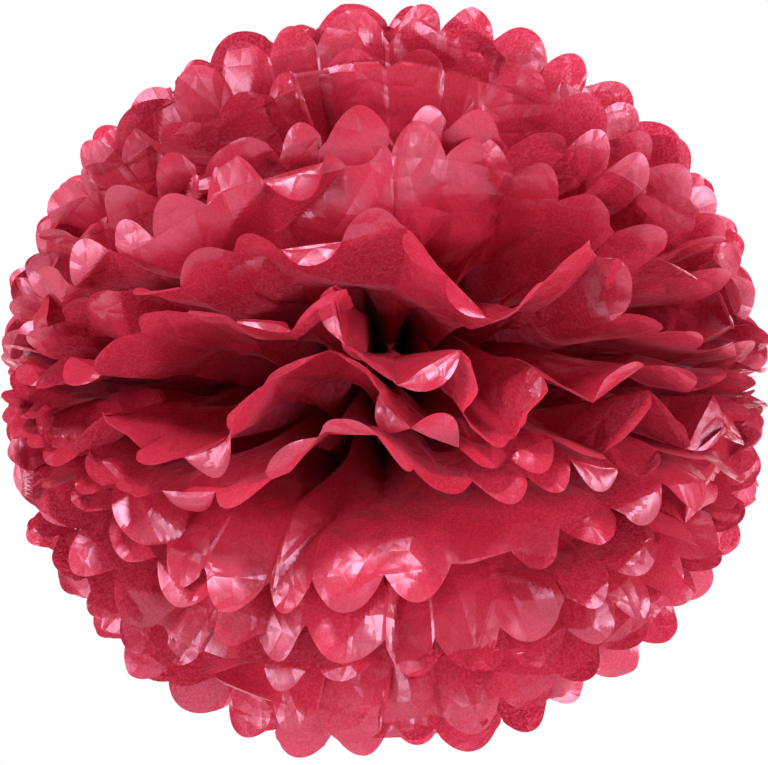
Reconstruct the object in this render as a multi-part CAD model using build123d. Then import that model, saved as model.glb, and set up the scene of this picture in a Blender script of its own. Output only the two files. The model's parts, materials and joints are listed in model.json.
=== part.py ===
"""Tissue-paper pom-pom, 400 mm across, opened into a full ball.

Fourteen sheets of tissue lie on each other, are folded together like an accordion into twenty
panels, are bound at the middle with a wire and have their ends cut round. Each sheet then leaves
the bound waist as two leaves, an upper and a lower one, and each leaf is a half disc of twenty
pleats. Seven sheets are pulled to the front and seven to the back.

Frame: the origin is the middle of the bound waist, which is also the middle of the ball. X runs
along the waist, through the two poles where every leaf ends. -Y is the front and +Z is up.
Lengths are millimetres. An opening angle is measured about X, from -Y towards +Z.
"""
from build123d import *
from math import cos, hypot, pi, radians, sin, sqrt
import os

# The ball and its sheets
BALL_RADIUS = 200.0
SHEETS_PER_SIDE = 7
LEAVES_PER_HALF = 2 * SHEETS_PER_SIDE
PANELS = 20
PAPER_THICKNESS = 0.2  # an opened leaf with its fine wrinkles, not the bare tissue

# The waist, where the sheets are bound
HINGE_RADIUS = 6.0  # where every leaf leaves the waist
WAIST_RADIUS = 5.4
WAIST_HALF_LENGTH = 7.0
WAIST_CORNER = 2.5
SHEET_GAP = 0.05

# One leaf, a half disc in its own plane about its root on the hinge line
ROOT_GAP = 0.5
HALF_FAN = radians(86.0)
FLAT_ROOT = 15.0  # no pleat stands up inside this radius
CREST_RADIUS = 110.0
CREST_HEIGHT = 7.0
RIM_HEIGHT = 4.0
LOBE_DEPTH = 14.0  # from the top of a round-cut end down to the notch beside it
LOBE_STEPS = 5
LOBE_FULLNESS = 0.75

# How the two halves stand open
SLIT_TILT = 4.0  # the slit between the two front halves points this far above -Y
UPPER_HALF_SLIT = 10.0
LOWER_HALF_SLIT = 10.0

# The binding wire
WIRE_RADIUS = 0.45
WIRE_CLEARANCE = 0.05
WIRE_HEIGHT = 0.45
WIRE_TAIL = 12.0
TAIL_SPACING = 0.8


def opening_angles(first, last):
    """The opening angles of one half's leaves, evenly spaced from the front to the back."""
    step = (last - first) / (LEAVES_PER_HALF - 1)
    return [first + step * k for k in range(LEAVES_PER_HALF)]


def fold_angle(fold):
    """The direction of a fold line inside a leaf's plane, from the leaf's middle."""
    return HALF_FAN * (2 * fold / PANELS - 1)


def fold_height(radius, fold):
    """How far a fold line stands off the leaf's plane: up and down in turn, and flat at both ends."""
    if radius <= FLAT_ROOT:
        return 0.0
    if radius <= CREST_RADIUS:
        height = CREST_HEIGHT * (radius - FLAT_ROOT) / (CREST_RADIUS - FLAT_ROOT)
    else:
        share = (radius - CREST_RADIUS) / (leaf_length - CREST_RADIUS)
        height = CREST_HEIGHT + (RIM_HEIGHT - CREST_HEIGHT) * share
    end_taper = cos(fold_angle(fold) * pi / 2 / HALF_FAN)
    return height * end_taper * (1 if fold % 2 else -1)


def leaf_point(radius, angle, height):
    return Vector(radius * sin(angle), radius * cos(angle), height)


def fold_point(radius, fold):
    return leaf_point(radius, fold_angle(fold), fold_height(radius, fold))


def lobe_points(fold):
    """The round-cut end of the panel between a fold and the next, from notch to notch."""
    points = []
    for step in range(LOBE_STEPS + 1):
        across = step / LOBE_STEPS
        radius = notch_radius + LOBE_DEPTH * sin(pi * across) ** LOBE_FULLNESS
        angle = fold_angle(fold + across)
        start, end = fold_height(notch_radius, fold), fold_height(notch_radius, fold + 1)
        points.append(leaf_point(radius, angle, start + (end - start) * across))
    return points


def leaf_patches():
    """The leaf's middle surface as flat patches, each a list of points that turns the same way."""
    folds = range(PANELS + 1)
    inner_edge = [fold_point(ROOT_GAP, fold) for fold in folds]
    root_edge = [fold_point(FLAT_ROOT, fold) for fold in folds]
    patches = [inner_edge + root_edge[::-1]]
    for fold in range(PANELS):
        for inner, outer in ((FLAT_ROOT, CREST_RADIUS), (CREST_RADIUS, notch_radius)):
            a, b = fold_point(inner, fold), fold_point(inner, fold + 1)
            c, d = fold_point(outer, fold + 1), fold_point(outer, fold)
            patches += [[a, b, c], [a, c, d]]
        lobe = lobe_points(fold)
        patches += [[lobe[0], lobe[n + 1], lobe[n]] for n in range(1, LOBE_STEPS)]
    return patches


def leaf_outline():
    """The leaf's edge as one closed list of points, turning the way the patches do."""
    folds = range(PANELS + 1)
    inner = [fold_point(ROOT_GAP, fold) for fold in folds]
    last_end = [fold_point(r, PANELS) for r in (FLAT_ROOT, CREST_RADIUS)]
    rim = []
    for fold in reversed(range(PANELS)):
        rim += lobe_points(fold)[:0:-1]
    rim.append(fold_point(notch_radius, 0))
    first_end = [fold_point(r, 0) for r in (CREST_RADIUS, FLAT_ROOT)]
    return inner + last_end + rim + first_end


def polygon(points):
    return Face(Wire.make_polygon(points, close=True))


def make_leaf():
    """One leaf as a thin solid: the middle surface moved half the thickness each way and closed."""
    up = Vector(0, 0, PAPER_THICKNESS / 2)
    faces = []
    for patch in leaf_patches():
        faces.append(polygon([p + up for p in patch]))
        faces.append(polygon([p - up for p in reversed(patch)]))
    outline = leaf_outline()
    for here, there in zip(outline, outline[1:] + outline[:1]):
        faces.append(polygon([here - up, there - up, there + up, here + up]))
    solid = Solid(Shell(faces))
    return solid if solid.volume > 0 else Solid(Shell([-face for face in faces]))


def leaf_plane(opening):
    """The plane of a leaf at this opening angle, with its origin on the leaf's hinge line."""
    angle = radians(opening)
    root = (0, -HINGE_RADIUS * cos(angle), HINGE_RADIUS * sin(angle))
    return Plane(origin=root, x_dir=(-1, 0, 0), z_dir=(0, sin(angle), cos(angle)))


def waist_half_length(y):
    """Half the bound waist's length at this depth; its corners are round, for the wire."""
    past_corner = max(0.0, abs(y) - (WAIST_RADIUS - WAIST_CORNER))
    straight = WAIST_HALF_LENGTH - WAIST_CORNER
    return straight + sqrt(max(0.0, WAIST_CORNER**2 - past_corner**2))


def make_middle(number):
    """The bound middle of one sheet, counted from the front: a slice of the round waist."""
    pitch = 2 * WAIST_RADIUS / LEAVES_PER_HALF
    front = -WAIST_RADIUS + pitch * number + SHEET_GAP / 2
    back = front + pitch - SHEET_GAP
    outermost = back if back > 0 else front
    length = 2 * waist_half_length(outermost)
    across = 4 * WAIST_RADIUS
    waist = Rot(0, 90, 0) * Cylinder(WAIST_RADIUS, length)
    return waist & Pos(0, (front + back) / 2, 0) * Box(across, back - front, across)


def make_wire():
    """The wire round the waist, with its two ends laid together along +X."""
    ring_gap = WIRE_CLEARANCE + WIRE_RADIUS
    width, depth = 2 * (WAIST_HALF_LENGTH + ring_gap), 2 * (WAIST_RADIUS + ring_gap)
    path = Pos(0, 0, WIRE_HEIGHT) * RectangleRounded(width, depth, WAIST_CORNER + ring_gap)
    start = path.wire().position_at(0)
    along = path.wire().tangent_at(0)
    ring = sweep(Plane(origin=start, z_dir=along) * Circle(WIRE_RADIUS), path=path.wire())
    tail = Cylinder(WIRE_RADIUS, WIRE_TAIL, align=(Align.CENTER, Align.CENTER, Align.MIN))
    tails = [
        Pos(width / 2, side * TAIL_SPACING / 2, WIRE_HEIGHT) * Rot(0, 90, 0) * tail for side in (-1, 1)
    ]
    return ring + tails[0] + tails[1]


def sheet_name(number):
    """A sheet's name, counted from the front: the innermost sheet of each side is number 1."""
    if number < SHEETS_PER_SIDE:
        return f"front_sheet_{number + 1}"
    return f"back_sheet_{LEAVES_PER_HALF - number}"


leaf_length = BALL_RADIUS - HINGE_RADIUS
notch_radius = leaf_length - LOBE_DEPTH
upper_angles = opening_angles(SLIT_TILT + UPPER_HALF_SLIT, 180 - SLIT_TILT - UPPER_HALF_SLIT)
lower_angles = opening_angles(SLIT_TILT - LOWER_HALF_SLIT, -180 - SLIT_TILT + LOWER_HALF_SLIT)

os.makedirs("parts", exist_ok=True)
leaf = make_leaf()
for number in range(LEAVES_PER_HALF):
    sheet = sheet_name(number)
    upper, lower = upper_angles[number], lower_angles[number]
    export_step(leaf_plane(upper).location * leaf, f"parts/{sheet}_upper_leaf.step")
    export_step(leaf_plane(lower).location * leaf, f"parts/{sheet}_lower_leaf.step")
    export_step(make_middle(number), f"parts/{sheet}_middle.step")
    print(sheet, "opens at", round(upper, 2), "above and", round(lower, 2), "below")
export_step(make_wire(), "parts/binding_wire.step")
print("leaf volume", round(leaf.volume, 1), "valid", leaf.is_valid)
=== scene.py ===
"""The looks of the tissue-paper pom-pom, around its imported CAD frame. Lengths are metres.

Each leaf is one half of a pleated tissue sheet. Its surface is worked out in the leaf's own fan:
a distance from the waist, a direction in the fan, and a turn about the ball's X axis that holds
the pleats, the leaf's bow and its ruffles. Neighbouring leaves touch in places.
"""

import json
from math import atan2, cos, degrees, pi, radians, sin

import bpy
import numpy as np
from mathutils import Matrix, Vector
from mathutils.geometry import delaunay_2d_cdt

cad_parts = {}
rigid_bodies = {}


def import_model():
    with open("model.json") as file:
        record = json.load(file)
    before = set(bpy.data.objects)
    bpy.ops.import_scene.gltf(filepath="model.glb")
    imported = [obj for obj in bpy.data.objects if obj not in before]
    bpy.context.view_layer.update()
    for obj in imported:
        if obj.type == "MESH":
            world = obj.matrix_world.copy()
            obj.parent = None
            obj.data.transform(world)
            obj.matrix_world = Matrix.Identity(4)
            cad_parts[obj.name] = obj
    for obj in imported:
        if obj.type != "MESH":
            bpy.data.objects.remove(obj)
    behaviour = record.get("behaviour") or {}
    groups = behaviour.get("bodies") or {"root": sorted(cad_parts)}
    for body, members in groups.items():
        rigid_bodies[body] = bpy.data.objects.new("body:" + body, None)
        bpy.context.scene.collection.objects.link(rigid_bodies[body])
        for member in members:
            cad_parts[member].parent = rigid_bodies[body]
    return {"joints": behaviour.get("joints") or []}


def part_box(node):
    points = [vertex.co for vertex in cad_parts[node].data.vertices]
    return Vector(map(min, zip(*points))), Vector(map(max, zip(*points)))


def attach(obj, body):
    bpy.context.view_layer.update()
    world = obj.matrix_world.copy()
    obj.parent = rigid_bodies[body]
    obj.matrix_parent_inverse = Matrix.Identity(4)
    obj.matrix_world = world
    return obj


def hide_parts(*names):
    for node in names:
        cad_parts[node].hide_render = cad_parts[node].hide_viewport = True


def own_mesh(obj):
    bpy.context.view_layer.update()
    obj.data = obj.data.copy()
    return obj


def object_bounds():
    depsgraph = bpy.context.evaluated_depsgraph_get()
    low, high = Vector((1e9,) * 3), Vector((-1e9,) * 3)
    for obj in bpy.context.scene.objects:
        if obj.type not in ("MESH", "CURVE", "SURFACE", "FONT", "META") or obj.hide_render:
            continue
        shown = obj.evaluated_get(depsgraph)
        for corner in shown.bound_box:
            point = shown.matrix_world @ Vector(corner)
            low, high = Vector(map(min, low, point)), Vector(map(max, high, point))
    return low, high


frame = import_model()
cad_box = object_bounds()

# Sheet and pleats
PANELS = 20
PANEL_WIDTH = 0.0315
LEAF_LENGTH = 0.1948
LOBE_DEPTH = 0.0128
NOTCH = LEAF_LENGTH - LOBE_DEPTH
HALF_FAN = radians(89.0)
BOUND_DEPTH = 0.0050  # half the depth of a pleat in the waist
LOOSE_FROM = 0.032  # pleats have their full depth past this distance from the waist
LEAST_PLEAT = 0.006  # twice the least depth of a pleat that hasn't flattened
FLAT_FROM, FLAT_BY = 0.28, 0.76  # shares of the length between which most pleats flatten
DEEP_SHARE = 0.08  # of the folds keep most of their depth at the rim
DEEP_KEPT = 0.7
KEPT_MOST = 0.22  # of its depth, for any other fold
KEPT_SPREAD = 0.12
END_KEPT = 0.6  # more, for the folds at the fan's two ends
END_FROM, END_BY = radians(45), radians(80)
PLACED_KEPT = 0.3  # factor for the leaves with folds of their own, whose panels stand on edge
SHARED_STRAY = radians(0.5)  # how far a fold strays in its direction, with all the leaves
OWN_STRAY = radians(0.8)  # and on its own

# Lobes of the rim
LOBE_SPREAD = 0.08  # how much the lobes' depths differ
LOBE_ROUNDNESS = 2.1  # exponent of their outline: 2 is a parabola
LOBE_FOLD = radians(9)
FOLDED_SHARE = 0.10  # of the lobes fold sharply
CREASED_SHARE = 0.32  # of the lobes have a second crease
SECOND_FOLD = radians(20)

# Bow and ruffles
BOWL = radians(5.5)  # how far a leaf's outer half bows towards the slit, which turns its rim out
BOW_PEAK = 9.48  # makes share**3 * (1 - share) rise to 1
BACK_LEAN = radians(5.0)  # how far the rims of the hidden back lean towards the slit at most
WAVE = radians(1.0)
SWELL = radians(2.0)
# Creases along the rim: where they start as shares of the length, how steep, how many panels apart
RIM_FOLDS = (((0.74, 0.90), 0.15, 2.4), ((0.50, 0.68), 0.13, 3.4))

# Crumpled facets: spacing across and along the sheet, and height
JITTER = 0.42  # of the spacing
LARGE_FACETS = (0.042, 0.046)
LARGE_HEIGHT = 0.0070
PLACED_LARGE_HEIGHT = 0.0050  # on the leaves with folds of their own
SMALL_FACETS = (0.019, 0.024)
SMALL_HEIGHT = 0.0017
PATCHES = (0.06, 0.06)  # spacing of the patches where small facets are stronger or weaker

# The waist
STRIP_FOLDS = 60  # small folds across a gathered strip
STRIP_ROWS = 14
STRIP_DEPTH = 0.00034  # of its small folds, each way
PINCH = 0.12  # how much narrower a strip is under the wire
TWISTS = 3.5  # turns of the wire's two ends about each other
TWIST_RADIUS = 0.00043
WIRE_THINNING = 0.94  # so that the twisted ends lie beside each other
WIRE_SIDES = 12

# Mesh of one leaf
COLUMNS = 18  # across one panel
ROWS = 80  # from the waist to the notches of the rim
TIP_ROWS = 10  # from the notches to the tips of the lobes
FIRST_ROW = 0.0005  # distance of the first row from the hinge
ROW_CROWDING = 0.35  # how much closer the rows lie near the notches

SEED = 11


def smoothstep(low, high, value):
    t = np.clip((value - low) / (high - low), 0, 1)
    return t * t * (3 - 2 * t)


# ---------------------------------------------------------------- leaf shape


def joint_opening(joint):
    """A leaf's opening angle about X, from -Y towards +Z, read from its hinge line."""
    _, y, z = joint["pos_m"]
    return atan2(z, -y)


def wave(rng, angles, count, strength):
    """A smooth random curve over the fan: a few sine waves with falling strength."""
    total = np.zeros_like(angles)
    for n in range(1, count + 1):
        phase = rng.uniform(0, 2 * pi)
        total += rng.normal(0, strength / n**0.7) * np.sin(n * angles * 1.3 + phase)
    return total


def facets(rng, across, along, size, depth):
    """Crumpled paper: flat triangles between scattered points, each raised or sunk at random.

    across and along are the grid's places on the flat sheet, and size is the points' spacing."""
    wide, tall = size
    width, height = PANELS * PANEL_WIDTH, LEAF_LENGTH
    xs, ys = np.meshgrid(np.arange(-wide, width + 2 * wide, wide), np.arange(-tall, height + 2 * tall, tall))
    xs = xs + wide * rng.uniform(-JITTER, JITTER, xs.shape)
    ys = ys + tall * rng.uniform(-JITTER, JITTER, ys.shape)
    rise = rng.normal(0, depth, xs.size)
    spots = [Vector((x, y)) for x, y in zip(xs.ravel(), ys.ravel())]
    spots, _, triangles, sources, _, _ = delaunay_2d_cdt(spots, [], [], 0, 1e-7)
    rise = np.array([rise[s[0]] for s in sources])
    spots = np.array(spots)
    total = np.zeros_like(across)
    columns, rows = across[0], along[:, COLUMNS // 2]
    for triangle in triangles:
        corners = spots[triangle]
        (x0, y0), (x1, y1), (x2, y2) = corners
        area = (x1 - x0) * (y2 - y0) - (x2 - x0) * (y1 - y0)
        if abs(area) < 1e-9:
            continue
        c = slice(*np.searchsorted(columns, (min(x0, x1, x2), max(x0, x1, x2))))
        r = slice(*np.searchsorted(rows, (min(y0, y1, y2), max(y0, y1, y2) + LOBE_DEPTH)))
        x, y = across[r, c] - x0, along[r, c] - y0
        u = (x * (y2 - y0) - y * (x2 - x0)) / area
        v = (y * (x1 - x0) - x * (y1 - y0)) / area
        inside = (u >= 0) & (v >= 0) & (u + v <= 1)
        h0, h1, h2 = rise[triangle]
        total[r, c][inside] = (h0 + u * (h1 - h0) + v * (h2 - h0))[inside]
    return total


def rim_folds(rng, direction, share):
    """The turn of two ragged creases that run along the rim, one near it and one further in."""
    total = np.zeros_like(direction)
    for (nearest, furthest), steep, panels in RIM_FOLDS:
        places = np.arange(-HALF_FAN, HALF_FAN + 1, 2 * HALF_FAN / PANELS * panels)
        starts = rng.uniform(nearest, furthest, len(places))
        steepness = rng.normal(0, steep, len(places))
        start = np.interp(direction, places, starts)
        total += np.interp(direction, places, steepness) * np.maximum(share - start, 0)
    return total


def grid_normals(points):
    """Unit normals of a grid of points, by rows and columns."""
    down = np.gradient(points, axis=0)
    right = np.gradient(points, axis=1)
    normal = np.cross(right, down)
    return normal / np.maximum(np.linalg.norm(normal, axis=2, keepdims=True), 1e-12)


def turned_about(points, start, axis, angle):
    """Points turned about a line through start, by an angle or by one angle for each point."""
    axis = axis / np.linalg.norm(axis)
    out = points - start
    along = (out @ axis)[..., None] * axis
    off = out - along
    angle = np.broadcast_to(angle, out.shape[:-1])[..., None]
    return start + along + off * np.cos(angle) + np.cross(axis, off) * np.sin(angle)


def fold_lobes(rng, points, across, chosen):
    """Folds each lobe along the line between its two notches, and some along a second line."""
    tip = np.linspace(0, 1, TIP_ROWS + 1)[1:, None]
    for j in range(PANELS):
        left, right = j * COLUMNS, (j + 1) * COLUMNS
        a, b = points[ROWS, left].copy(), points[ROWS, right].copy()
        lobe = points[ROWS + 1 :, left + 1 : right]
        fold = rng.normal(0, LOBE_FOLD)
        if rng.random() < FOLDED_SHARE:
            fold = rng.choice([-1, 1]) * radians(rng.uniform(50, 150))
        fold = radians(chosen[j]) if j in chosen else fold
        crisp = rng.uniform(0.45, 1.0)
        lobe = turned_about(lobe, a, b - a, fold * (crisp + (1 - crisp) * tip))
        slant = rng.uniform(-0.7, 0.7)
        hold = rng.uniform(0.2, 0.6)
        second = rng.normal(0, SECOND_FOLD)
        if rng.random() < CREASED_SHARE:
            middle = (a + b) / 2
            out = lobe[-1, COLUMNS // 2] - middle
            line = (b - a) / np.linalg.norm(b - a) + slant * out / np.linalg.norm(out)
            side = across[left + 1 : right][None, :] - 0.5
            beyond = tip * (1 - (2 * side) ** 2) - hold - slant * side * PANEL_WIDTH / LOBE_DEPTH
            turned = turned_about(lobe, middle + hold * out, line, second)
            lobe = np.where((beyond > 0)[..., None], turned, lobe)
        points[ROWS + 1 :, left + 1 : right] = lobe


# Where the rims of the front sheets stand: pairs of a direction in the fan, positive to +X, and an
# opening angle, in degrees. The leaves beside the slit have one pair for each of their folds, as
# their panels stand on edge, and the others have a few along the rim. Many pairs near the middle
# of the picture are rim positions read off the photo and turned into angles. The pairs towards
# the sides only carry the zigzag on.
FRONT_FOLDS = {
    "front_sheet_1_upper_leaf": [
        (-80, 5), (-72, 3), (-63.5, 2), (-55.5, 9), (-47, 1), (-38, 8), (-30, 10), (-22, 8), (-14, 9.5),
        (-5.8, 15), (-4.6, 6), (2, -1), (11, 5), (12, -5), (19, -8), (23, 1), (32, -4), (42, 3),
        (52, -3), (63, 5), (74, -2),
    ],
    "front_sheet_2_upper_leaf": [
        (-84, 12), (-75, 16), (-66, 12), (-57.5, 16), (-49, 14), (-40, 18), (-31, 17), (-22.5, 22),
        (-15, 21.5), (-6, 21.5), (3, 24), (9.6, 17.5), (16, 12), (24, 17.5), (33, 24), (37, 13),
        (45, 10), (54, 12), (63, 17), (72, 14), (81, 16),
    ],
    "front_sheet_1_lower_leaf": [
        (-80, -2), (-71, -14), (-62, -2), (-54, -17), (-46, -5), (-38.5, -15.5), (-30.5, -13),
        (-23, -9), (-16, -3), (-8, 2.3), (-1, -2), (4, -7), (11, -10), (18, -12), (25, -9.5),
        (34, -14), (43, -2), (52, -17), (61, -3), (70, -13), (79, -4),
    ],
    "front_sheet_2_lower_leaf": [
        (-84, -14), (-75, -19), (-66, -15), (-58, -21), (-50, -19), (-42.5, -23), (-34.5, -21.5),
        (-25.5, -19.5), (-17, -15.5), (-9, -10.7), (-1, -8.7), (5, -13), (13, -16), (21, -18),
        (28, -15), (36.5, -19), (45, -16), (54, -21), (63, -17), (72, -20), (81, -15),
    ],
}
FRONT_RIMS = {
    "front_sheet_3_upper_leaf": [(-90, 26), (-45, 30), (-27, 30), (0, 33), (10, 35), (30, 35), (90, 28)],
    "front_sheet_4_upper_leaf": [(0, 45)],
    "front_sheet_5_upper_leaf": [(0, 56)],
    "front_sheet_6_upper_leaf": [(0, 68.5)],
    "front_sheet_7_upper_leaf": [(0, 83)],
    "front_sheet_3_lower_leaf": [(-90, -24), (-30, -30), (-5, -25), (30, -28), (90, -24)],
    "front_sheet_4_lower_leaf": [(0, -38)],
    "front_sheet_5_lower_leaf": [(0, -50)],
    "front_sheet_6_lower_leaf": [(0, -64)],
    "front_sheet_7_lower_leaf": [(0, -80)],
}
# Lobes that stand well out of their panels, counted from -X, with the turn in degrees
FOLDED_LOBES = {
    "front_sheet_1_upper_leaf": {8: 5, 9: 60, 10: 0, 11: 55, 12: 0, 13: 10, 14: 20, 16: -60},
    "front_sheet_2_upper_leaf": {10: 60, 11: 70, 5: 40},
    "front_sheet_1_lower_leaf": {6: 80, 13: 30, 4: -35},
    "front_sheet_2_lower_leaf": {6: 90, 8: -50, 9: -60, 14: 40},
}


def rim_lean(name, opening, direction):
    """How far a leaf's rim turns from its opening angle."""
    rim = FRONT_RIMS.get(name)
    if rim is None:
        return np.sign(sin(opening)) * BACK_LEAN * -cos(opening) + 0 * direction
    places, angles = np.array(rim, float).T
    return np.radians(np.interp(np.degrees(direction), places, angles)) - opening


def between(values, panel, across):
    """Values at the folds, drawn straight across each panel."""
    return values[panel] + (values[panel + 1] - values[panel]) * across


def distances(rng, panel, across):
    """Each point's distance from the waist along the paper, out to the tips of the lobes."""
    lobe = LOBE_DEPTH * (1 + rng.normal(0, LOBE_SPREAD, PANELS))[panel]
    lobe = lobe * (1 - np.abs(2 * across - 1) ** LOBE_ROUNDNESS)
    row = np.linspace(0, 1, ROWS + 1)[:, None]
    inner = FIRST_ROW + NOTCH * row * (1 + ROW_CROWDING - ROW_CROWDING * row) + 0 * lobe[None, :]
    tip = np.linspace(0, 1, TIP_ROWS + 1)[1:, None]
    return np.vstack([inner, inner[-1] + tip * lobe[None, :]])


def fold_directions(rng, name, shared):
    """The direction of each fold in the fan: even with a little stray, or from FRONT_FOLDS."""
    stray = shared[0] * SHARED_STRAY + rng.normal(0, OWN_STRAY, PANELS + 1)
    if name in FRONT_FOLDS:
        return np.radians([place for place, _ in FRONT_FOLDS[name]])
    return np.linspace(-HALF_FAN, HALF_FAN, PANELS + 1) + stray


def pleat_height(rng, folds, distance, panel, across, placed, shared):
    """How far the pleats stand off the leaf.

    A panel keeps its width while the fan gives it less room, so the pleats are deep, but most
    folds have worked themselves flat towards the rim, apart from those at the fan's two ends."""
    spread = distance * np.diff(folds)[panel]
    depth = 0.5 * np.sqrt(np.maximum(PANEL_WIDTH**2 - spread**2, LEAST_PLEAT**2))
    depth = BOUND_DEPTH + (depth - BOUND_DEPTH) * smoothstep(0.0, LOOSE_FROM, distance)
    sign = np.where(np.arange(PANELS + 1) % 2, 1.0, -1.0)
    deep = rng.random(PANELS + 1) < DEEP_SHARE
    kept = np.where(deep, DEEP_KEPT, rng.uniform(0.0, KEPT_MOST, PANELS + 1))
    kept = sign * kept + rng.normal(0, KEPT_SPREAD, PANELS + 1)
    kept = kept + sign * END_KEPT * smoothstep(END_FROM, END_BY, np.abs(folds))
    if placed:
        kept = kept * PLACED_KEPT
    first = sign * (1 + 0.12 * shared[1]) + rng.normal(0, 0.05, PANELS + 1)
    flat = smoothstep(FLAT_FROM, FLAT_BY, distance / LEAF_LENGTH)
    return (between(first, panel, across) + between(kept - first, panel, across) * flat) * depth


def bow_strength(number):
    """Leaves beside the front slit bow least. Those of the back, past 90 degrees, all bow most."""
    return 0.25 if number < 16 else 0.8 if number < 28 else 1.25


def leaf_lean(rng, name, number, opening, direction, panel, across, share, swell):
    """How far each point turns from the leaf's opening angle: the rim's place, bow and ruffles."""
    placed = name in FRONT_FOLDS
    if placed:
        rims = np.radians([angle for _, angle in FRONT_FOLDS[name]])
        lean = (between(rims, panel, across) - opening)[None, :] * share**1.2
    else:
        lean = rim_lean(name, opening, direction) * share**1.4
    side = np.sign(cos(opening)) * np.sign(sin(opening)) * abs(cos(opening)) ** 0.5
    lean = lean - BOWL * side * bow_strength(number) * BOW_PEAK * share**3 * (1 - share)
    if not placed:
        lean = lean + swell(direction) * share**1.8 + wave(rng, direction, 5, WAVE) * share**1.6
        lean = lean + rim_folds(rng, direction, share)
    return lean


def crumple(rng, flat_x, distance, placed):
    """The height of the large facets, and of the small ones, which are stronger in patches."""
    patches = np.clip(0.7 + facets(rng, flat_x, distance, PATCHES, 0.9), 0.15, 2.2)
    height = PLACED_LARGE_HEIGHT if placed else LARGE_HEIGHT
    large = facets(rng, flat_x, distance, LARGE_FACETS, height)
    return large + facets(rng, flat_x, distance, SMALL_FACETS, SMALL_HEIGHT) * patches


def leaf_points(name, number, half, opening, root_radius, shared, swell):
    """The leaf's grid of points in the ball's frame, with its flat coordinates."""
    rng = np.random.default_rng([SEED, half, number])
    columns = np.arange(PANELS * COLUMNS + 1)
    panel = np.minimum(columns // COLUMNS, PANELS - 1)
    across = (columns - panel * COLUMNS) / COLUMNS
    placed = name in FRONT_FOLDS
    distance = distances(rng, panel, across)
    share = distance / LEAF_LENGTH
    folds = fold_directions(rng, name, shared)
    direction = between(folds, panel, across)[None, :] + 0 * distance
    height = pleat_height(rng, folds, distance, panel, across, placed, shared)
    lean = leaf_lean(rng, name, number, opening, direction, panel, across, share, swell)

    reach = root_radius + distance * np.cos(direction)
    taper = smoothstep(-0.02, 0.045, reach)
    angle = opening + lean * taper + height * taper / np.maximum(reach, 0.012)
    x = (distance + root_radius) * np.sin(direction)
    points = np.stack([x, -reach * np.cos(angle), reach * np.sin(angle)], axis=2)

    flat_x = np.broadcast_to(((panel + across) * PANEL_WIDTH)[None, :], distance.shape)
    creased = crumple(rng, flat_x, distance, placed) * share * taper
    points = points + grid_normals(points) * creased[..., None]
    fold_lobes(rng, points, across, FOLDED_LOBES.get(name, {}))
    return points, flat_x, distance


def leaf_mesh(name, points, flat_x, distance):
    """A leaf's grid as a mesh, closed up at the notches, with its flat places as UVs in 0.1 m."""
    rows, columns = distance.shape
    index = np.arange(rows * columns).reshape(rows, columns)
    index[ROWS + 1 :, ::COLUMNS] = index[ROWS, ::COLUMNS]
    quads = np.stack([index[:-1, :-1], index[:-1, 1:], index[1:, 1:], index[1:, :-1]], axis=2)
    quads = quads.reshape(-1, 4)
    at_left = quads[:, 0] == quads[:, 3]
    at_right = quads[:, 1] == quads[:, 2]
    whole = quads[~at_left & ~at_right]
    corners = np.vstack([quads[at_left][:, :3], quads[at_right][:, [0, 1, 3]]])
    used, compact = np.unique(np.concatenate([whole.ravel(), corners.ravel()]), return_inverse=True)
    whole = compact[: whole.size].reshape(-1, 4)
    corners = compact[whole.size :].reshape(-1, 3)
    mesh = bpy.data.meshes.new(name)
    mesh.from_pydata(points.reshape(-1, 3)[used].tolist(), [], whole.tolist() + corners.tolist())
    mesh.polygons.foreach_set("use_smooth", np.ones(len(mesh.polygons), bool))
    uv = mesh.uv_layers.new(name="flat_sheet")
    flat = np.stack([flat_x, distance], axis=2).reshape(-1, 2)[used] * 10
    loops = np.empty(len(mesh.loops), np.int32)
    mesh.loops.foreach_get("vertex_index", loops)
    uv.data.foreach_set("uv", flat[loops].ravel())
    mesh.set_sharp_from_angle(angle=radians(6))
    mesh.update()
    return linked(name, mesh)


# ---------------------------------------------------------------- waist and wire


def linked(name, mesh):
    obj = bpy.data.objects.new(name, mesh)
    bpy.context.scene.collection.objects.link(obj)
    return obj


def strip_mesh(name, sheet, number, lower_hinge, upper_hinge, wire_height):
    """The gathered strip of a sheet, from its lower leaf through the binding to its upper leaf."""
    rng = np.random.default_rng([SEED, 50, number])
    low, high = (np.array(c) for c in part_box(f"{sheet}_middle"))
    bound = np.array([(low[1] + high[1]) / 2, wire_height])
    t = np.linspace(0, 1, STRIP_ROWS + 1)[:, None]
    start, end = np.array(lower_hinge[1:]), np.array(upper_hinge[1:])
    line = (1 - t) ** 2 * start + 2 * t * (1 - t) * bound + t**2 * end
    tangent = np.gradient(line, axis=0)
    tangent /= np.linalg.norm(tangent, axis=1, keepdims=True)
    fold = np.arange(STRIP_FOLDS + 1)
    rise = np.where(fold % 2, 1, -1) * rng.uniform(0.5, 1.0, fold.size) * STRIP_DEPTH
    pinched = 1 - PINCH * 4 * t * (1 - t)
    x = (2 * fold / STRIP_FOLDS - 1) * high[0] * pinched
    y = line[:, :1] - tangent[:, 1:] * rise
    z = line[:, 1:] + tangent[:, :1] * rise
    points = np.stack([x, y, z], axis=2)
    index = np.arange(t.size * fold.size).reshape(t.size, fold.size)
    quads = np.stack([index[:-1, :-1], index[:-1, 1:], index[1:, 1:], index[1:, :-1]], axis=2)
    mesh = bpy.data.meshes.new(name)
    mesh.from_pydata(points.reshape(-1, 3).tolist(), [], quads.reshape(-1, 4).tolist())
    mesh.update()
    return linked(name, mesh)


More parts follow.
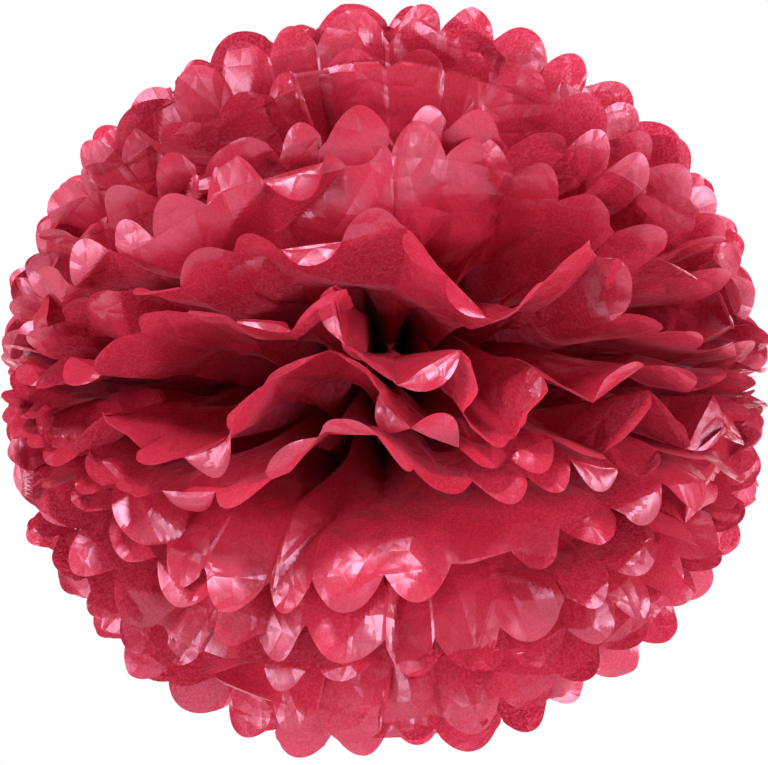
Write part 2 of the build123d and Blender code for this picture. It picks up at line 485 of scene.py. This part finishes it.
def arc(centre_x, centre_y, radius, first, last, steps=10):
    """Points round part of a circle in the ring's plane, from one angle to another."""
    angle = np.radians(np.linspace(first, last, steps + 1))
    x, y = centre_x + radius * np.cos(angle), centre_y + radius * np.sin(angle)
    return np.stack([x, y, 0 * x], axis=1)


def wire_path(low, high):
    """The wire's line: one twisted end, once round the waist, and back along the other end."""
    radius = (high[2] - low[2]) / 2
    side, end = high[1] - radius, -low[0] - radius
    corner = side / 2
    turn_out = 3 * TWIST_RADIUS
    twisted = np.linspace(1, 0, 60)
    x = end + turn_out + (high[0] - end - turn_out) * twisted
    angle = 2 * pi * TWISTS * twisted
    tail = np.stack([x, TWIST_RADIUS * np.cos(angle), TWIST_RADIUS * np.sin(angle)], axis=1)
    half = np.vstack([
        tail[:-1],
        arc(end + turn_out, TWIST_RADIUS + turn_out, turn_out, 270, 180),
        arc(end - corner, side - corner, corner, 0, 90),
        arc(corner - end, side - corner, corner, 90, 180),
    ])
    other = half[::-1] * (1, -1, -1)
    return np.vstack([half, other]) + (0, 0, low[2] + radius), radius


def wire_mesh(name, path, radius):
    """A round tube along the path, with flat cut ends."""
    tangent = np.gradient(path, axis=0)
    tangent /= np.linalg.norm(tangent, axis=1, keepdims=True)
    across = np.cross(tangent[0], (0, 0, 1))
    turn = np.linspace(0, 2 * pi, WIRE_SIDES, endpoint=False)[:, None]
    points = []
    for point, along in zip(path, tangent):
        across = across - along * (across @ along)
        across = across / np.linalg.norm(across)
        up = np.cross(along, across)
        points += (point + radius * (np.cos(turn) * across + np.sin(turn) * up)).tolist()
    faces = []
    for ring in range(len(path) - 1):
        for side in range(WIRE_SIDES):
            here, there = ring * WIRE_SIDES, (ring + 1) * WIRE_SIDES
            after = (side + 1) % WIRE_SIDES
            faces.append((here + side, here + after, there + after, there + side))
    faces.append(tuple(reversed(range(WIRE_SIDES))))
    faces.append(tuple(range(len(points) - WIRE_SIDES, len(points))))
    mesh = bpy.data.meshes.new(name)
    mesh.from_pydata(points, [], faces)
    mesh.polygons.foreach_set("use_smooth", np.ones(len(mesh.polygons), bool))
    mesh.set_sharp_from_angle(angle=radians(50))
    mesh.update()
    return linked(name, mesh)


# ---------------------------------------------------------------- materials


def tissue_material():
    """Tissue paper: satin creased red that glows deeper where light comes through it."""
    mat = bpy.data.materials.new("raspberry_tissue")
    mat.use_nodes = True
    nodes, links = mat.node_tree.nodes, mat.node_tree.links
    nodes.clear()
    out = nodes.new("ShaderNodeOutputMaterial")
    paper = nodes.new("ShaderNodeBsdfPrincipled")
    glow = nodes.new("ShaderNodeBsdfTranslucent")
    mix = nodes.new("ShaderNodeMixShader")
    coords = nodes.new("ShaderNodeTexCoord")

    fibres = nodes.new("ShaderNodeTexNoise")
    fibres.inputs["Scale"].default_value = 800.0
    fibres.inputs["Detail"].default_value = 3.0
    clouds = nodes.new("ShaderNodeTexNoise")
    clouds.inputs["Scale"].default_value = 22.0
    clouds.inputs["Detail"].default_value = 4.0
    links.new(coords.outputs["Object"], fibres.inputs["Vector"])
    links.new(coords.outputs["Object"], clouds.inputs["Vector"])
    blend = nodes.new("ShaderNodeMix")
    blend.inputs["Factor"].default_value = 0.12
    links.new(clouds.outputs["Fac"], blend.inputs["A"])
    links.new(fibres.outputs["Fac"], blend.inputs["B"])
    tint = nodes.new("ShaderNodeValToRGB")
    tint.color_ramp.elements[0].position = 0.36
    tint.color_ramp.elements[0].color = (0.35, 0.007, 0.024, 1)
    tint.color_ramp.elements[1].position = 0.64
    tint.color_ramp.elements[1].color = (0.49, 0.017, 0.050, 1)
    links.new(blend.outputs["Result"], tint.inputs["Fac"])
    links.new(tint.outputs["Color"], paper.inputs["Base Color"])
    through = nodes.new("ShaderNodeValToRGB")
    through.color_ramp.elements[0].position = 0.42
    through.color_ramp.elements[0].color = (0.56, 0.005, 0.028, 1)
    through.color_ramp.elements[1].position = 0.62
    through.color_ramp.elements[1].color = (0.95, 0.15, 0.28, 1)
    links.new(fibres.outputs["Fac"], through.inputs["Fac"])
    links.new(through.outputs["Color"], glow.inputs["Color"])

    flat = nodes.new("ShaderNodeUVMap")
    flat.uv_map = "flat_sheet"
    creases = nodes.new("ShaderNodeTexVoronoi")
    creases.feature = "DISTANCE_TO_EDGE"
    creases.inputs["Scale"].default_value = 3.6
    links.new(flat.outputs["UV"], creases.inputs["Vector"])
    wrinkles = nodes.new("ShaderNodeTexVoronoi")
    wrinkles.feature = "DISTANCE_TO_EDGE"
    wrinkles.inputs["Scale"].default_value = 9.0
    links.new(flat.outputs["UV"], wrinkles.inputs["Vector"])
    bumps = []
    for source, size in ((creases, 0.0050), (wrinkles, 0.0008), (fibres, 0.00004)):
        bump = nodes.new("ShaderNodeBump")
        bump.inputs["Strength"].default_value = 0.8
        bump.inputs["Distance"].default_value = size
        links.new(source.outputs[0], bump.inputs["Height"])
        if bumps:
            links.new(bumps[-1].outputs["Normal"], bump.inputs["Normal"])
        bumps.append(bump)
    links.new(bumps[-1].outputs["Normal"], paper.inputs["Normal"])
    links.new(bumps[-1].outputs["Normal"], glow.inputs["Normal"])
    paper.inputs["Roughness"].default_value = 0.37
    paper.inputs["Specular IOR Level"].default_value = 1.0
    paper.inputs["Specular Tint"].default_value = (1.0, 0.70, 0.98, 1)
    paper.inputs["Sheen Weight"].default_value = 0.05
    paper.inputs["Sheen Roughness"].default_value = 0.4
    paper.inputs["Sheen Tint"].default_value = (1.0, 0.75, 0.82, 1)
    mix.inputs["Fac"].default_value = 0.23
    links.new(paper.outputs[0], mix.inputs[1])
    links.new(glow.outputs[0], mix.inputs[2])
    links.new(mix.outputs[0], out.inputs["Surface"])
    return mat


def wire_material():
    """Drawn steel: a fine grain in its gloss and in its surface."""
    mat = plain_material("drawn_steel", (0.50, 0.50, 0.52), 0.35)
    nodes, links = mat.node_tree.nodes, mat.node_tree.links
    steel = nodes["Principled BSDF"]
    steel.inputs["Metallic"].default_value = 1.0
    coords = nodes.new("ShaderNodeTexCoord")
    grain = nodes.new("ShaderNodeTexNoise")
    grain.inputs["Scale"].default_value = 1600.0
    grain.inputs["Detail"].default_value = 4.0
    links.new(coords.outputs["Object"], grain.inputs["Vector"])
    gloss = nodes.new("ShaderNodeMapRange")
    gloss.inputs["To Min"].default_value = 0.22
    gloss.inputs["To Max"].default_value = 0.52
    links.new(grain.outputs["Fac"], gloss.inputs["Value"])
    links.new(gloss.outputs["Result"], steel.inputs["Roughness"])
    bump = nodes.new("ShaderNodeBump")
    bump.inputs["Strength"].default_value = 0.4
    bump.inputs["Distance"].default_value = 0.00004
    links.new(grain.outputs["Fac"], bump.inputs["Height"])
    links.new(bump.outputs["Normal"], steel.inputs["Normal"])
    return mat


def plain_material(name, colour, roughness):
    mat = bpy.data.materials.new(name)
    mat.use_nodes = True
    shader = mat.node_tree.nodes["Principled BSDF"]
    shader.inputs["Base Color"].default_value = (*colour, 1)
    shader.inputs["Roughness"].default_value = roughness
    return mat


def pale_floor():
    """A white floor that shows as bright as the backdrop and gives the object a softer light."""
    mat = plain_material("pale_floor", (0.80, 0.80, 0.80), 0.8)
    nodes, links = mat.node_tree.nodes, mat.node_tree.links
    white = nodes.new("ShaderNodeEmission")
    white.inputs["Color"].default_value = (1, 1, 1, 1)
    choose = nodes.new("ShaderNodeMixShader")
    path = nodes.new("ShaderNodeLightPath")
    links.new(path.outputs["Is Camera Ray"], choose.inputs[0])
    links.new(nodes["Principled BSDF"].outputs[0], choose.inputs[1])
    links.new(white.outputs[0], choose.inputs[2])
    links.new(choose.outputs[0], nodes["Material Output"].inputs["Surface"])
    return mat


# ---------------------------------------------------------------- the leaves

tissue = tissue_material()
shared_folds = np.random.default_rng(SEED).normal(0, 1, (2, PANELS + 1))


def shared_swell(half):
    """The slow waves that all the leaves of one half share along their rims, so that they nest."""
    rng = np.random.default_rng([SEED, 90 + half])
    waves = [(rng.normal(0, SWELL / n**0.5), rng.uniform(0, 2 * pi)) for n in range(2, 6)]

    def swell(direction):
        return sum(size * np.sin(n * direction * 1.4 + phase) for n, (size, phase) in enumerate(waves, 2))

    return swell


hinges = {j["child"]: j for j in frame["joints"]}
waist = next(iter(hinges.values()))["parent"]
wire_line, wire_radius = wire_path(*(np.array(c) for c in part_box("binding_wire")))
wire = wire_mesh("steel_binding_wire", wire_line, wire_radius * WIRE_THINNING)
wire.data.materials.append(wire_material())
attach(wire, waist)
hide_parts("binding_wire")

sheets = sorted(body.removesuffix("_upper_leaf") for body in hinges if body.endswith("upper_leaf"))
for number, sheet in enumerate(sheets):
    strip = strip_mesh(
        f"tissue_{sheet}_middle",
        sheet,
        number,
        hinges[f"{sheet}_lower_leaf"]["pos_m"],
        hinges[f"{sheet}_upper_leaf"]["pos_m"],
        wire_line[:, 2].mean(),
    )
    strip.data.materials.append(tissue)
    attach(strip, waist)
    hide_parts(f"{sheet}_middle")

for body, joint in sorted(hinges.items()):
    opening = joint_opening(joint)
    upper = body.endswith("upper_leaf")
    _, root_y, root_z = joint["pos_m"]
    root_radius = (root_y**2 + root_z**2) ** 0.5
    number = int(round(abs(degrees(opening))))
    points, flat_x, distance = leaf_points(
        body, number, int(upper), opening, root_radius, shared_folds, shared_swell(int(upper))
    )
    leaf = leaf_mesh(f"tissue_{body}", points, flat_x, distance)
    leaf.data.materials.append(tissue)
    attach(leaf, body)
    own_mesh(leaf)
    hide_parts(body)

# ---------------------------------------------------------------- stage, light and camera

FLOOR_SIZE = 30
FLOOR_DROP = 0.25  # how far the floor lies below the ball

low, high = (Vector(c) for c in cad_box)
middle = (low + high) / 2
bpy.ops.mesh.primitive_plane_add(size=FLOOR_SIZE, location=(0, 0, low.z - FLOOR_DROP))
floor = bpy.context.object
floor.name = "floor"
floor.data.materials.append(pale_floor())

scene = bpy.context.scene
scene.view_settings.view_transform = "Standard"
world = bpy.data.worlds.new("studio")
world.use_nodes = True
nodes, links = world.node_tree.nodes, world.node_tree.links
seen = nodes["Background"]
seen.inputs["Color"].default_value = (1, 1, 1, 1)
seen.inputs["Strength"].default_value = 1.0
lighting = nodes.new("ShaderNodeBackground")
lighting.inputs["Color"].default_value = (1, 1, 1, 1)
lighting.inputs["Strength"].default_value = 0.12
path = nodes.new("ShaderNodeLightPath")
choose = nodes.new("ShaderNodeMixShader")
links.new(path.outputs["Is Camera Ray"], choose.inputs[0])
links.new(lighting.outputs[0], choose.inputs[1])
links.new(seen.outputs[0], choose.inputs[2])
links.new(choose.outputs[0], nodes["World Output"].inputs["Surface"])
scene.world = world


def soft_light(name, place, size, power):
    data = bpy.data.lights.new(name, "AREA")
    data.shape = "SQUARE"
    data.size = size
    data.energy = power
    light = bpy.data.objects.new(name, data)
    light.location = place
    light.rotation_euler = (middle - Vector(place)).to_track_quat("-Z", "Y").to_euler()
    scene.collection.objects.link(light)


soft_light("key", (-0.7, -1.3, 2.0), 0.45, 60)
soft_light("right_fill", (2.0, -1.2, 0.2), 0.9, 60)
soft_light("left_fill", (-2.0, -1.1, 0.0), 0.9, 42)
soft_light("back", (0.2, 2.0, 0.5), 2.0, 110)

camera_data = bpy.data.cameras.new("camera")
camera_data.sensor_width = 36
camera_data.lens = 141
camera = bpy.data.objects.new("camera", camera_data)
camera.location = (0, -1.6, 0)
camera.rotation_euler = (radians(90), 0, 0)
scene.collection.objects.link(camera)
scene.camera = camera
